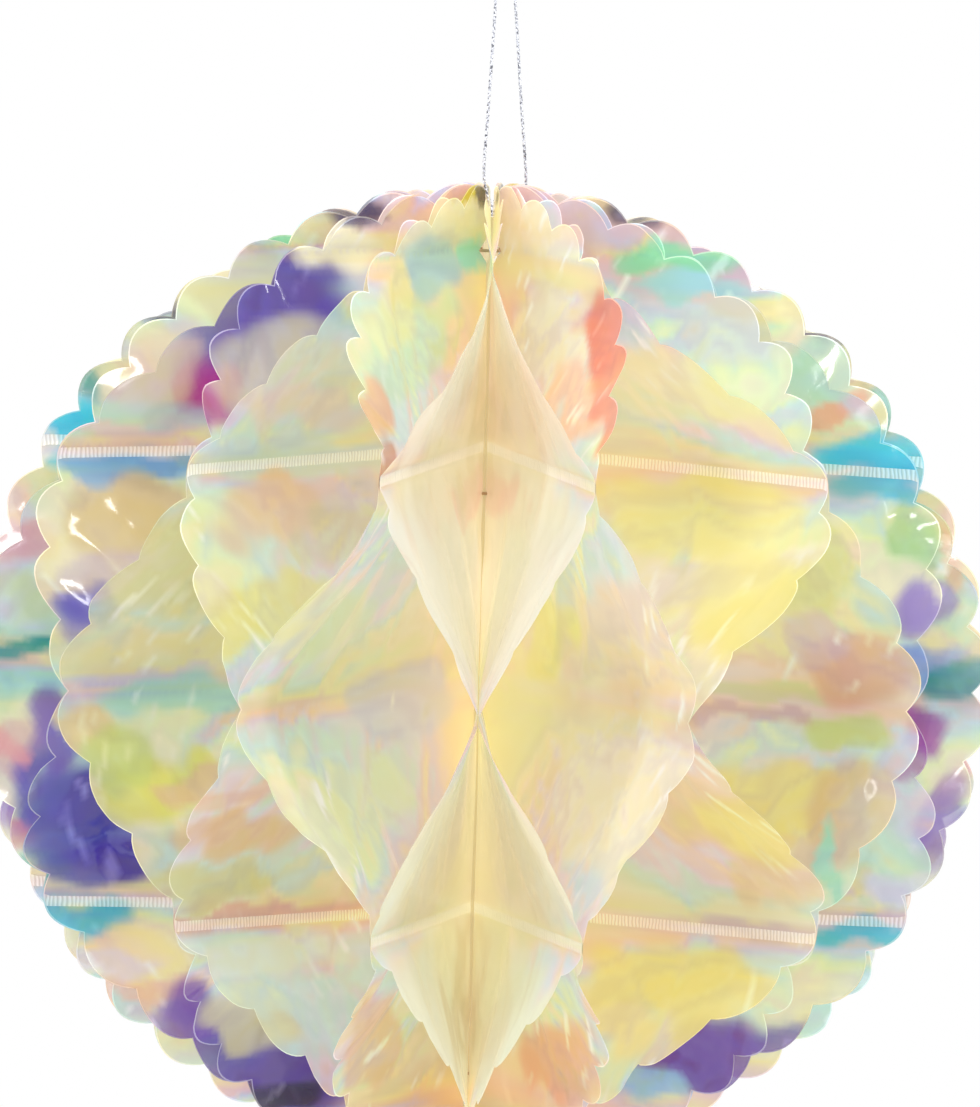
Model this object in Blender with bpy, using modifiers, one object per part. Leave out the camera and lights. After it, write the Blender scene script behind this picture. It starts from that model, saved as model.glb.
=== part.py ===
"""A honeycomb ball of iridescent plastic film that hangs on a loop of silver cord.

The ball is a ring of half discs of film, the leaves, whose straight edges meet at an upright spine and
whose curved edges are cut in scallops. Each leaf is welded to its two neighbours along level lines that
run out from the spine, to one neighbour at one height and to the other at the next, so that the opened
ball is a honeycomb. The origin is the point where a hook holds the loop, +Z is up, and the side that is
usually seen faces -Y.
"""

import math
import random

import bmesh
import bpy
from mathutils import Matrix, Vector
from mathutils.geometry import delaunay_2d_cdt

# Ball, over the crests of its scallops
BALL_DIAMETER = 0.300
BALL_HEIGHT = 0.290
SHOULDER_DIP = 0.003  # how far the outline lies inside an ellipse halfway between pole and equator
LEAF_COUNT = 26  # even, because the welds join the leaves in pairs
SCALLOP_COUNT = 22
SCALLOP_DEPTH = 0.0052
STEPS_PER_SCALLOP = 3

# Film, tape and the gap that is kept between pieces that touch
FILM = 0.0002
TAPE = 0.0001
TAPE_WIDTH = 0.003
CLEARANCE = 0.0003

# Welds, as heights above the ball's middle at the spine, from the top down
WELD_HEIGHTS = (0.1253, 0.0678, 0.0, -0.0678, -0.1253)
WELD_DROOP = 0.048  # share of its height by which a weld would drop towards the equator at the full radius
POLE_OPENING = 0.65  # how far a leaf springs back from its last weld by the pole, as a share of half a cell
WALL_EASE = 0.85  # 0 for a leaf that runs straight from weld to weld, 1 for one that leaves a weld level with it
TAUT_EASE = 0.25
TAUT_LEAVES = (LEAF_COUNT // 2 - 1, LEAF_COUNT // 2)  # the two at the front, which hang taut
CURVE_SHARES = (0.25, 0.5, 0.75)  # where the curve from weld to weld has its points

# Turns of the welded pairs about the spine, in degrees from an even spacing: the opened ball is not quite
# regular. The first pair of TURNS_OVER_SEAM closes the ball at the back.
TURNS_OVER_SEAM = (0.0, 1.5, -2.0, 1.0, -1.8, 0.5, 1.8, -0.8, 7.5, 5.0, 2.0, -1.5, 1.0)
TURNS_BETWEEN = (-1.0, 2.0, -1.5, 0.0, 0.4, 0.7, 0.0, -2.7, 3.6, 4.0, 1.0, -2.0, 1.5)
LEVEL_TURN = 1.0  # degrees by which one weld may leave the weld below it
SEED = 26

# Spine
BEAD_RADIUS = 0.0024
BEAD_LENGTH = 0.270
BEAD_SIDES = 12
TIE_WIRE_RADIUS = 0.00045
TIE_HEIGHTS = {"spine_tie_upper": 0.054, "spine_tie_lower": -0.117}
TOP_TIE_RADIUS = 0.006
TOP_TIE_HEIGHT = WELD_HEIGHTS[0]
TIE_SIDES = 8
TIE_SEGMENTS = 24
NOTCH_REACH = 0.0015  # how far a leaf's notch goes past the middle of the thread that runs through it
NOTCH_SLOPE = 0.75  # half of a notch's mouth against its depth

# Closing tape, as distances from the spine
TAPE_START = 0.012
TAPE_END = 0.118

# Hanging cord
CORD_DIAMETER = 0.00095
LOOP_RISE = 0.088  # from the ball's top to the hook
CORD_TOP_WIDTH = 0.003
STRAND_AZIMUTH = 99.5  # degrees from the front, of the strand that goes down beside the spine

# Derived places
HALF_CELL = 180.0 / LEAF_COUNT
STEPS = SCALLOP_COUNT * STEPS_PER_SCALLOP
BALL_MIDDLE = -(LOOP_RISE + BALL_HEIGHT / 2)
LEAF_START = BEAD_RADIUS + CLEARANCE
TIE_RADIUS = LEAF_START + TIE_WIRE_RADIUS
LEAF_OFFSET = (FILM + CLEARANCE) / 2
SEAM_OFFSET = (FILM + TAPE) / 2 + CLEARANCE


def clear_scene():
    for item in list(bpy.data.objects):
        bpy.data.objects.remove(item, do_unlink=True)


def new_collection(name):
    collection = bpy.data.collections.new(name)
    bpy.context.scene.collection.children.link(collection)
    return collection


def principled(name, colour, roughness, metallic=0.0, alpha=1.0):
    material = bpy.data.materials.new(name)
    material.use_nodes = True
    shader = material.node_tree.nodes["Principled BSDF"]
    shader.inputs["Base Color"].default_value = (*colour, 1.0)
    shader.inputs["Roughness"].default_value = roughness
    shader.inputs["Metallic"].default_value = metallic
    shader.inputs["Alpha"].default_value = alpha
    return material


def add_object(name, data, material, collection):
    item = bpy.data.objects.new(name, data)
    data.materials.append(material)
    collection.objects.link(item)
    return item


def mesh_from(bm, name):
    mesh = bpy.data.meshes.new(name)
    bmesh.ops.recalc_face_normals(bm, faces=bm.faces)
    bm.to_mesh(mesh)
    bm.free()
    return mesh


def outward(azimuth):
    """The level direction at an azimuth in degrees, which starts at the front and grows to the right."""
    turn = math.radians(azimuth)
    return Vector((math.sin(turn), -math.cos(turn), 0.0))


def sideways(azimuth):
    """The level direction square to outward, towards growing azimuth."""
    return outward(azimuth + 90.0)


def rim_point(step):
    """Distance from the spine, and height, of a point of the scalloped rim. Steps count from the top."""
    angle = math.pi * step / STEPS
    across = (step % STEPS_PER_SCALLOP) / STEPS_PER_SCALLOP
    from_crest = SCALLOP_DEPTH * (2 * across - 1) ** 2
    dip = SHOULDER_DIP * math.sin(2 * angle) ** 2
    radius = (BALL_DIAMETER / 2 - from_crest - dip) * math.sin(angle)
    height = (BALL_HEIGHT / 2 - from_crest - dip) * math.cos(angle)
    return max(radius, LEAF_START + NOTCH_REACH), height


def weld_step(height):
    """The rim's step at which a weld ends that starts at this height on the spine."""

    def miss(step):
        radius, rim_height = rim_point(step)
        return abs(rim_height - height * (1 - WELD_DROOP * 2 * radius / BALL_DIAMETER))

    return min(range(STEPS + 1), key=miss)


WELD_STEPS = [weld_step(height) for height in WELD_HEIGHTS]


def pair_azimuths():
    """Azimuth of each welded pair at each weld, as one list of pairs for each weld from the top down."""
    chance = random.Random(SEED)
    rows = []
    for level in range(len(WELD_HEIGHTS)):
        over_seam = level % 2 == 1
        turns = TURNS_OVER_SEAM if over_seam else TURNS_BETWEEN
        start = 180.0 if over_seam else 180.0 + 2 * HALF_CELL
        row = []
        for pair in range(LEAF_COUNT // 2):
            wander = 0.0 if pair == 0 else chance.uniform(-LEVEL_TURN, LEVEL_TURN)
            row.append(start + 4 * HALF_CELL * pair + turns[pair % len(turns)] + wander)
        rows.append(row)
    return rows


PAIR_AZIMUTHS = pair_azimuths()


def leaf_at_weld(leaf, level):
    """Azimuth of a leaf at a weld, and how far it stands to the side of that radial plane."""
    over_seam = level % 2 == 1
    pairs = LEAF_COUNT // 2
    pair = ((leaf + 1) // 2) % pairs if over_seam else leaf // 2
    lap = 360.0 if over_seam and leaf == LEAF_COUNT - 1 else 0.0
    upper_side = (leaf % 2 == 0) == over_seam
    offset = SEAM_OFFSET if over_seam and pair == 0 else LEAF_OFFSET
    return PAIR_AZIMUTHS[level][pair] + lap, offset if upper_side else -offset


def weld_line_height(level, radius):
    """Height of a weld line at a distance from the spine."""
    rim_radius, rim_height = rim_point(WELD_STEPS[level])
    share = (radius - LEAF_START) / (rim_radius - LEAF_START)
    return WELD_HEIGHTS[level] + (rim_height - WELD_HEIGHTS[level]) * share


def eased(leaf, share):
    """How far a leaf has swung to the next weld when it is this share of the way down to it."""
    ease = TAUT_EASE if leaf in TAUT_LEAVES else WALL_EASE
    level_start = share * share * (3 - 2 * share)
    return share + ease * (level_start - share)


def leaf_at_point(leaf, radius, height):
    """Azimuth and side offset of a leaf at a point of its flat pattern."""
    lines = [weld_line_height(level, radius) for level in range(len(WELD_STEPS))]
    last = len(lines) - 1
    if height >= lines[0] or height <= lines[last]:
        level = 0 if height >= lines[0] else last
        pole = math.copysign(BALL_HEIGHT / 2, height)
        share = POLE_OPENING * (height - lines[level]) / (pole - lines[level])
        middle = 180.0 + HALF_CELL * (2 * leaf + 1)
        azimuth, offset = leaf_at_weld(leaf, level)
        return azimuth + (middle - azimuth) * share, offset
    level = max(index for index in range(last) if lines[index] >= height)
    share = eased(leaf, (height - lines[level]) / (lines[level + 1] - lines[level]))
    azimuth, offset = leaf_at_weld(leaf, level)
    next_azimuth, next_offset = leaf_at_weld(leaf, level + 1)
    return azimuth + (next_azimuth - azimuth) * share, offset + (next_offset - offset) * share


def ties():
    """Each thread tie's name, with the ring's radius and its height above the ball's middle."""
    rings = {"top_tie": (TOP_TIE_RADIUS, TOP_TIE_HEIGHT)}
    for name, height in TIE_HEIGHTS.items():
        rings[name] = (TIE_RADIUS, height)
    return rings


def inner_lines():
    """Height at the spine, and step on the rim, of each line that the pattern's triangles keep: the welds,
    and the lines between them along which a leaf curves."""
    lines = list(zip(WELD_HEIGHTS, WELD_STEPS))
    for (high, above), (low, below) in zip(lines[:], lines[1:]):
        for share in CURVE_SHARES:
            lines.append((high + (low - high) * share, round(above + (below - above) * share)))
    return lines


def spine_points():
    """The leaf's inner edge from the top down, with the lines' starts and the notches for the ties."""
    top = rim_point(0)[1]
    bottom = rim_point(STEPS)[1]
    starts = [height for height, _ in inner_lines()]
    points = {(LEAF_START, height) for height in (top, bottom, *starts)}
    for radius, height in ties().values():
        depth = radius + NOTCH_REACH
        mouth = (depth - LEAF_START) * NOTCH_SLOPE
        points.discard((LEAF_START, height))
        points.update({(LEAF_START, height + mouth), (depth, height), (LEAF_START, height - mouth)})
    return sorted(points, key=lambda point: -point[1])


def flat_pattern():
    """The leaf laid flat: its points as distance and height, and its triangles, which keep the inner lines."""
    spine = spine_points()
    rim = [rim_point(step) for step in range(STEPS, -1, -1)]
    outline = spine + rim
    count = len(outline)
    edges = [(index, (index + 1) % count) for index in range(count)]
    for height, step in inner_lines():
        start = next(index for index, point in enumerate(spine) if point[1] == height)
        edges.append((start, len(spine) + STEPS - step))
    flat = [Vector(point) for point in outline]
    points, _, triangles, *_ = delaunay_2d_cdt(flat, edges, [], 1, FILM / 100)
    return points, triangles


def build_leaf(leaf, pattern, material, collection):
    """One leaf: a sheet of film in zigzag from weld to weld, from the spine out to the scalloped rim."""
    points, triangles = pattern
    bm = bmesh.new()
    vertices = []
    for radius, height in points:
        azimuth, offset = leaf_at_point(leaf, radius, height)
        level_point = outward(azimuth) * radius + sideways(azimuth) * offset
        vertices.append(bm.verts.new(level_point + Vector((0.0, 0.0, BALL_MIDDLE + height))))
    for triangle in triangles:
        bm.faces.new([vertices[index] for index in triangle])
    item = add_object(f"film_leaf_{leaf + 1:02d}", mesh_from(bm, "film_leaf"), material, collection)
    solid = item.modifiers.new("Film thickness", "SOLIDIFY")
    solid.thickness = FILM
    solid.offset = 0.0
    return item


def build_spine_bead(material, collection):
    bm = bmesh.new()
    bmesh.ops.create_cone(
        bm,
        cap_ends=True,
        segments=BEAD_SIDES,
        radius1=BEAD_RADIUS,
        radius2=BEAD_RADIUS,
        depth=BEAD_LENGTH,
    )
    item = add_object("spine_bead", mesh_from(bm, "spine_bead"), material, collection)
    item.location.z = BALL_MIDDLE
    return item


def build_tie(name, radius, height, material, collection):
    """A ring of thread round the spine, as a small circle turned about the upright axis."""
    bm = bmesh.new()
    turned = bmesh.ops.create_circle(bm, segments=TIE_SIDES, radius=TIE_WIRE_RADIUS)
    upright = Matrix.Rotation(math.pi / 2, 4, "X")
    bmesh.ops.transform(bm, matrix=Matrix.Translation((radius, 0.0, 0.0)) @ upright, verts=turned["verts"])
    bmesh.ops.spin(
        bm,
        geom=bm.edges[:] + bm.verts[:],
        cent=(0.0, 0.0, 0.0),
        axis=(0.0, 0.0, 1.0),
        angle=math.tau,
        steps=TIE_SEGMENTS,
        use_merge=True,
    )
    bmesh.ops.remove_doubles(bm, verts=bm.verts, dist=TIE_WIRE_RADIUS / 100)
    item = add_object(name, mesh_from(bm, name), material, collection)
    item.location.z = BALL_MIDDLE + height
    return item


def build_closing_tape(name, level, material, collection):
    """A strip of tape between the last leaf and the first, along a weld line at the back."""
    azimuth = PAIR_AZIMUTHS[level][0]
    inner_radius, inner_height = LEAF_START, WELD_HEIGHTS[level]
    rim_radius, rim_height = rim_point(WELD_STEPS[level])
    start = outward(azimuth) * inner_radius + Vector((0.0, 0.0, inner_height))
    run = outward(azimuth) * (rim_radius - inner_radius) + Vector((0.0, 0.0, rim_height - inner_height))
    along = run.normalized()
    middle = start + along * (TAPE_START + TAPE_END) / 2
    side = sideways(azimuth)
    axes = Matrix((along, side, along.cross(side))).transposed().to_4x4()
    bm = bmesh.new()
    bmesh.ops.create_cube(bm, size=1.0)
    bmesh.ops.scale(bm, vec=(TAPE_END - TAPE_START, TAPE, TAPE_WIDTH), verts=bm.verts)
    item = add_object(name, mesh_from(bm, name), material, collection)
    item.matrix_world = Matrix.Translation(middle + Vector((0.0, 0.0, BALL_MIDDLE))) @ axes
    return item


def cord_route():
    """Centre line of the hanging loop, from its end over the spine to its end on the top tie."""
    bead_top = BALL_MIDDLE + BEAD_LENGTH / 2
    tie_top = BALL_MIDDLE + TOP_TIE_HEIGHT + TIE_WIRE_RADIUS
    pole = -LOOP_RISE
    crown = CORD_DIAMETER / 2
    beside = outward(STRAND_AZIMUTH)
    return [
        Vector((0.0, 0.0, bead_top + CLEARANCE)),
        Vector((-0.0004, 0.0, bead_top + 0.004)),
        Vector((-0.0016, 0.0, pole - 0.003)),
        Vector((-0.0026, 0.0, pole + 0.004)),
        Vector((-0.0018, 0.0, pole + 0.022)),
        Vector((-0.0008, 0.0, pole + 0.046)),
        Vector((-0.0002, 0.0, pole + 0.068)),
        Vector((-CORD_TOP_WIDTH / 2 + 0.0011, 0.0, crown - 0.006)),
        Vector((-CORD_TOP_WIDTH / 2 + 0.0012, 0.0, crown - 0.0022)),
        Vector((0.0, 0.0, crown)),
        Vector((CORD_TOP_WIDTH / 2, 0.0, crown - 0.0012)),
        Vector((CORD_TOP_WIDTH / 2 + 0.0008, 0.0, crown - 0.006)),
        Vector((0.0038, 0.0001, pole + 0.068)),
        Vector((0.0058, 0.0004, pole + 0.046)),
        Vector((0.0079, 0.0008, pole + 0.022)),
        Vector((0.0096, 0.0013, pole + 0.004)),
        beside * 0.0098 + Vector((0.0, 0.0, pole - 0.003)),
        beside * 0.0088 + Vector((0.0, 0.0, pole - 0.010)),
        beside * 0.0070 + Vector((0.0, 0.0, tie_top + 0.005)),
        beside * TOP_TIE_RADIUS + Vector((0.0, 0.0, tie_top + CLEARANCE)),
    ]


def smooth_points(points, spacing):
    """Points at a near even spacing along a smooth curve through the given ones."""
    ends = [2 * points[0] - points[1], *points, 2 * points[-1] - points[-2]]
    line = []
    for before, start, end, after in zip(ends, ends[1:], ends[2:], ends[3:]):
        pieces = max(1, round((end - start).length / spacing))
        for piece in range(pieces):
            t = piece / pieces
            bend = (2 * before - 5 * start + 4 * end - after) * t * t
            twist = (3 * start - before - 3 * end + after) * t**3
            line.append(start + ((end - before) * t + bend + twist) / 2)
    line.append(points[-1])
    return line


def build_cord(material, collection):
    line = smooth_points(cord_route(), CORD_DIAMETER * 3)
    curve = bpy.data.curves.new("hanging_cord", "CURVE")
    curve.dimensions = "3D"
    curve.bevel_depth = CORD_DIAMETER / 2
    curve.bevel_resolution = 2
    curve.use_fill_caps = True
    spline = curve.splines.new("POLY")
    spline.points.add(len(line) - 1)
    for point, place in zip(spline.points, line):
        point.co = (*place, 1.0)
    return add_object("hanging_cord", curve, material, collection)


def main():
    clear_scene()
    collection = new_collection("film_honeycomb_ball")
    film = principled("Iridescent film", (0.86, 0.84, 0.66), 0.12, alpha=0.75)
    silver = principled("Silver cord", (0.62, 0.62, 0.63), 0.35, metallic=0.9)
    thread = principled("Clear thread", (0.85, 0.85, 0.82), 0.3, alpha=0.8)
    glue = principled("Clear glue", (0.88, 0.87, 0.8), 0.15, alpha=0.7)
    tape = principled("Clear tape", (0.9, 0.9, 0.88), 0.2, alpha=0.7)
    pattern = flat_pattern()
    for leaf in range(LEAF_COUNT):
        build_leaf(leaf, pattern, film, collection)
    build_spine_bead(glue, collection)
    for name, (radius, height) in ties().items():
        build_tie(name, radius, height, thread, collection)
    build_closing_tape("closing_tape_upper", 1, tape, collection)
    build_closing_tape("closing_tape_lower", 3, tape, collection)
    build_cord(silver, collection)


if __name__ == "__main__":
    main()
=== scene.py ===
"""The looks of a hanging honeycomb ball of iridescent film, with its stage, its lights and its camera."""

import math

import bmesh
import bpy
import numpy as np
from mathutils import Matrix, Vector, noise
from mathutils.geometry import delaunay_2d_cdt


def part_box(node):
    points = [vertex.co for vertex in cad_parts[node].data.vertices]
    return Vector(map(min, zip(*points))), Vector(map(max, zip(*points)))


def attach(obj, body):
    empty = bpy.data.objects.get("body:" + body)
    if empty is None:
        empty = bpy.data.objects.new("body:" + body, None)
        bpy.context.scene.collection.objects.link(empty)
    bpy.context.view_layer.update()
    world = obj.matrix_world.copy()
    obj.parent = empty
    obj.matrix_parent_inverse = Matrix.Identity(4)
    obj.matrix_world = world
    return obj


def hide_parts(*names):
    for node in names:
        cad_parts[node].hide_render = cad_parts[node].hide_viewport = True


bl_info = {
    "name": "Film honeycomb ball",
    "version": (1, 0, 0),
    "blender": (4, 5, 0),
    "location": "3D View > Sidebar > Film ball",
    "description": "Builds a hanging honeycomb ball of iridescent film, with its stage",
    "category": "Object",
}

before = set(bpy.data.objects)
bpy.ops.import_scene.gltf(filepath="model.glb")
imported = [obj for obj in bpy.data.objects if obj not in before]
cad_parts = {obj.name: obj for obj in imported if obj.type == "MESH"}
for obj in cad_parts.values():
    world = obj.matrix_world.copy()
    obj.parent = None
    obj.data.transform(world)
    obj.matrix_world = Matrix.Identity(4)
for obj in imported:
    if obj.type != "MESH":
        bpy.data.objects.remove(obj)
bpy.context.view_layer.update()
MM = 0.001

LEAF_NODES = sorted(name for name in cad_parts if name.startswith("film_leaf_"))
LEAF_COUNT = len(LEAF_NODES)

# Places that the frame gives: the spine bead runs through the ball's middle
BEAD_LOW, BEAD_HIGH = (Vector(corner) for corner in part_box("spine_bead"))
BALL_MIDDLE = (BEAD_LOW.z + BEAD_HIGH.z) / 2
BEAD_RADIUS = (BEAD_HIGH.x - BEAD_LOW.x) / 2


def tie_place(node):
    """Outer radius of a thread tie, and its height above the ball's middle."""
    low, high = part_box(node)
    return (high[0] - low[0]) / 2, (high[2] + low[2]) / 2 - BALL_MIDDLE


TIES = {node: tie_place(node) for node in ("top_tie", "spine_tie_upper", "spine_tie_lower")}

# Flat pattern of a leaf, as it was cut and welded
SHOULDER_DIP = 3.0 * MM
SPINE_GAP = 0.3 * MM  # between the glue bead and a leaf, and round a thread tie
LEAF_START = BEAD_RADIUS + SPINE_GAP
LEAF_LEAST_WIDTH = 1.5 * MM  # width of a leaf at its poles
TIE_NOTCH_DEPTH = 1.0 * MM  # how far the notch for a thread tie goes past the tie
WELD_HEIGHTS = (125.3 * MM, 67.8 * MM, 0.0, -67.8 * MM, -125.3 * MM)
WELD_STEPS = (11, 23, 33, 43, 55)  # where the welds end on the rim, of 66 steps from pole to pole
PATTERN_STEPS = 66
RIM_POINTS_PER_SCALLOP = 12
WELD_TICK_APART = 1.3 * MM
KNURLED_WELDS = (1, 3)  # the welds that show ticks; the others are smooth
EDGE_STRIP = 0.4 * MM  # width of the cut edge that catches the light
NOTCH_SLOPE = 0.75

# Mesh of a leaf
BAND_POINTS_APART = 1.2 * MM
BAND_RIM_MARGIN = 1.2 * MM  # the points of a weld band stop this far from the rim
ROW_SHARE = 0.866  # distance between the rows of a mesh of even triangles, as a share of its step

# How a leaf hangs between its welds
WALL_EASE = 0.85  # how much of a leaf's swing from weld to weld is rounded
TAUT_EASE = 0.25
TAUT_LEAVES = (LEAF_COUNT // 2 - 1, LEAF_COUNT // 2)  # the two at the front, which hang taut
TAUT_SHARE = 0.45  # share of the folds and creases that the taut leaves have
POLE_OPENING = 0.65
ROOM_SHARE = 0.4  # share of the room to the next leaf that folds and creases may use
WELD_GAP = 0.12 * MM  # from the middle of a weld to each of its two leaves

# Sizes of what bends a leaf: soft folds, broad and small creases, ripples and the waves of the rim
FOLD_SIZE = 42 * MM
BROAD_CREASE_SIZE = 34 * MM
SMALL_CREASE_SIZE = 14 * MM
RIPPLE_SIZE = 5 * MM
RIPPLE_PATCH_SIZE = 30 * MM
RIM_WAVE_SIZE = 16 * MM
RIM_WAVE_DEPTH = 1.5 * MM

# Heights of broad creases, small creases and ripples, as shares of the crease depth
BROAD_HEIGHT, SMALL_HEIGHT, RIPPLE_HEIGHT = 2.0, 0.5, 0.22

# Sizes of what colours a leaf: broad clouds, wisps, streaks along the welds and the strokes of painted
# glints
CLOUD_SIZE = 60 * MM
WISP_SIZE = 14 * MM
STREAK_SIZE = 5 * MM
STREAK_REACH = 9 * MM
PAINTED_GLINT_SIZE = 4 * MM


def srgb(code):
    """Linear colour of an sRGB hex value such as "e8dfb8"."""
    levels = [int(code[place : place + 2], 16) / 255 for place in (0, 2, 4)]
    linear = [v / 12.92 if v <= 0.04045 else ((v + 0.055) / 1.055) ** 2.4 for v in levels]
    return (*linear, 1.0)


class FilmSettings(bpy.types.PropertyGroup):
    """Sizes of the film leaves"""

    diameter: bpy.props.FloatProperty(
        name="Ball diameter",
        description="Width of the ball over its scallops",
        default=0.300,
        unit="LENGTH",
    )
    height: bpy.props.FloatProperty(
        name="Ball height",
        description="Height of the ball over its scallops",
        default=0.290,
        unit="LENGTH",
    )
    scallops: bpy.props.IntProperty(
        name="Scallops",
        description="Scallops along the rim of one leaf",
        default=22,
    )
    scallop_depth: bpy.props.FloatProperty(
        name="Scallop depth",
        description="How deep the rim is cut between two scallops",
        default=0.0052,
        unit="LENGTH",
    )
    mesh_step: bpy.props.FloatProperty(
        name="Mesh step",
        description="Distance between the points of a leaf",
        default=0.0020,
        unit="LENGTH",
    )
    weld_width: bpy.props.FloatProperty(
        name="Weld width",
        description="Width of the embossed weld bands",
        default=0.0030,
        unit="LENGTH",
    )
    fold_depth: bpy.props.FloatProperty(
        name="Fold depth",
        description="Depth of the soft folds of the film",
        default=0.0020,
        unit="LENGTH",
    )
    crease_depth: bpy.props.FloatProperty(
        name="Crease depth",
        description="Depth of the sharp creases of the film",
        default=0.0020,
        unit="LENGTH",
    )


class CordSettings(bpy.types.PropertyGroup):
    """Sizes of the hanging cord"""

    diameter: bpy.props.FloatProperty(
        name="Cord diameter",
        description="Thickness of the braided cord",
        default=0.00095,
        unit="LENGTH",
    )
    braid_pitch: bpy.props.FloatProperty(
        name="Braid pitch",
        description="Length in which a yarn goes once round the cord",
        default=0.0054,
        unit="LENGTH",
    )


class StageSettings(bpy.types.PropertyGroup):
    """Sizes of the view and of the floor"""

    frame_height: bpy.props.FloatProperty(
        name="Frame height",
        description="Height that the picture covers at the ball's middle",
        default=0.3246,
        unit="LENGTH",
    )
    camera_distance: bpy.props.FloatProperty(
        name="Camera distance",
        description="Distance from the camera to the ball's middle",
        default=3.2,
        unit="LENGTH",
    )
    elevation: bpy.props.FloatProperty(
        name="Camera elevation",
        description="Angle at which the camera looks down",
        default=math.radians(4.4),
        subtype="ANGLE",
    )
    roll: bpy.props.FloatProperty(
        name="Camera roll",
        description="Turn of the camera about its own axis",
        default=math.radians(1.6),
        subtype="ANGLE",
    )
    floor_size: bpy.props.FloatProperty(
        name="Floor size",
        description="Width of the round floor",
        default=1.5,
        unit="LENGTH",
    )
    floor_drop: bpy.props.FloatProperty(
        name="Floor drop",
        description="Distance from the ball's lowest point to the floor",
        default=0.45,
        unit="LENGTH",
    )


def add_node(tree, kind, settings=None, inputs=None, links=None):
    """Add a node with its settings, its input values and links from other nodes' outputs."""
    node = tree.nodes.new(kind)
    for name, value in (settings or {}).items():
        setattr(node, name, value)
    for name, value in (inputs or {}).items():
        node.inputs[name].default_value = value
    for name, output in (links or {}).items():
        tree.links.new(output, node.inputs[name])
    return node


def new_material(name):
    """A material with no nodes yet. Where it shines, that stands for passed light and is no lamp."""
    material = bpy.data.materials.new(name)
    material.use_nodes = True
    material.node_tree.nodes.clear()
    material.cycles.emission_sampling = "NONE"
    return material


def finish_material(material, shader):
    """Lead a shader to the material's surface, and return the material."""
    output = add_node(material.node_tree, "ShaderNodeOutputMaterial")
    material.node_tree.links.new(shader.outputs[0], output.inputs["Surface"])
    return material


def set_ramp(node, stops):
    """Give a colour ramp its stops, as places and sRGB hex values."""
    elements = node.color_ramp.elements
    while len(elements) < len(stops):
        elements.new(0.5)
    for element, (place, code) in zip(elements, stops):
        element.position = place
        element.color = srgb(code)


# How far the cells open a leaf to the light at places from the spine out, as shares of the ball's radius:
# film in a narrow cell is lit by what its walls pass on, which deepens a colour, so it is made paler there
OPEN_LIGHT_PLACES = (0.2, 0.6, 1.0)
OPEN_LIGHT = (0.25, 0.4, 0.75)
SHEEN_WHITE = 0.05  # about what the film's gloss adds to its colour under soft light
GLOW_SHARE = 0.4  # share of the light that glows through a sheet and isn't thrown back
PASSED_LIGHT = 0.29  # how bright the painted glow of film by the spine is: it stands for light from the leaves around it
FREE_RIM = 0.83  # where the see-through film of the rim starts, as a share of the ball's radius
FREE_RIM_PLACES = (FREE_RIM, 0.98)
FILM_KEPT = (1.0, 0.72)  # share of the light that the film stops at those two places
FRINGES = 3.5  # coloured fringes per unit of slope
DEEP_START = 0.7  # where the strong colours start, as a share of the ball's radius
DEEP_SHARE = 0.8  # the most that they show
PATCH_STRENGTH = 0.95  # the most that a patch covers of the coating's own colour
PATCH_EDGE = 5  # how sharply a patch ends

# How far these turn the coating's colour, in whole turns: how squarely it faces the front, clouds, its
# slant, streaks along the welds, and each leaf's own share
FACING_TURN, CLOUD_TURN, SLANT_TURN, STREAK_TURN, LEAF_TURN = 0.45, 0.25, 1.2, 0.35, 0.04

# Colours that the coating turns through as the film tilts: mild ones, as where it faces the light, and
# strong ones, as where it is seen at a slant
PALE_TURN = ("efe4bb", "f1e7a8", "f4dcb4", "f3cdb6", "e6cddb", "cbd6e6", "c4e4da", "dcebb6")
DEEP_TURN = ("dcc06a", "f0a070", "dc6f98", "7a4cb4", "5a64c8", "44b4d4", "52c6b0", "b8d27c")


def iridescent_film(name, see_through):
    """Clear polyester film with a stack of vacuum-laid oxide layers: it turns light to colours that drift
    with the angle of each crease, from cream over peach, lilac and sky blue to mint. Light that falls on
    one side glows through to the other. Deep in the cells the film has a painted glow that stands for what
    the leaves around it let through. At the free rim, where there is one sheet alone, it is see-through."""
    material = new_material(name)
    tree = material.node_tree
    tint = add_node(tree, "ShaderNodeAttribute", {"attribute_name": "tint"})
    passed = add_node(tree, "ShaderNodeAttribute", {"attribute_name": "painted_passed_light"})
    sheen = add_node(
        tree,
        "ShaderNodeBsdfPrincipled",
        inputs={"Roughness": 0.1, "IOR": 1.9, "Emission Strength": 1.0},
        links={"Base Color": tint.outputs["Color"], "Emission Color": passed.outputs["Color"]},
    )
    glow = add_node(tree, "ShaderNodeBsdfTranslucent", links={"Color": tint.outputs["Color"]})
    body = add_node(
        tree,
        "ShaderNodeMixShader",
        inputs={0: GLOW_SHARE},
        links={1: sheen.outputs[0], 2: glow.outputs[0]},
    )
    if not see_through:
        return finish_material(material, body)
    clear = add_node(tree, "ShaderNodeBsdfTransparent")
    film = add_node(
        tree,
        "ShaderNodeMixShader",
        links={0: tint.outputs["Alpha"], 1: clear.outputs[0], 2: body.outputs[0]},
    )
    return finish_material(material, film)
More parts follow.
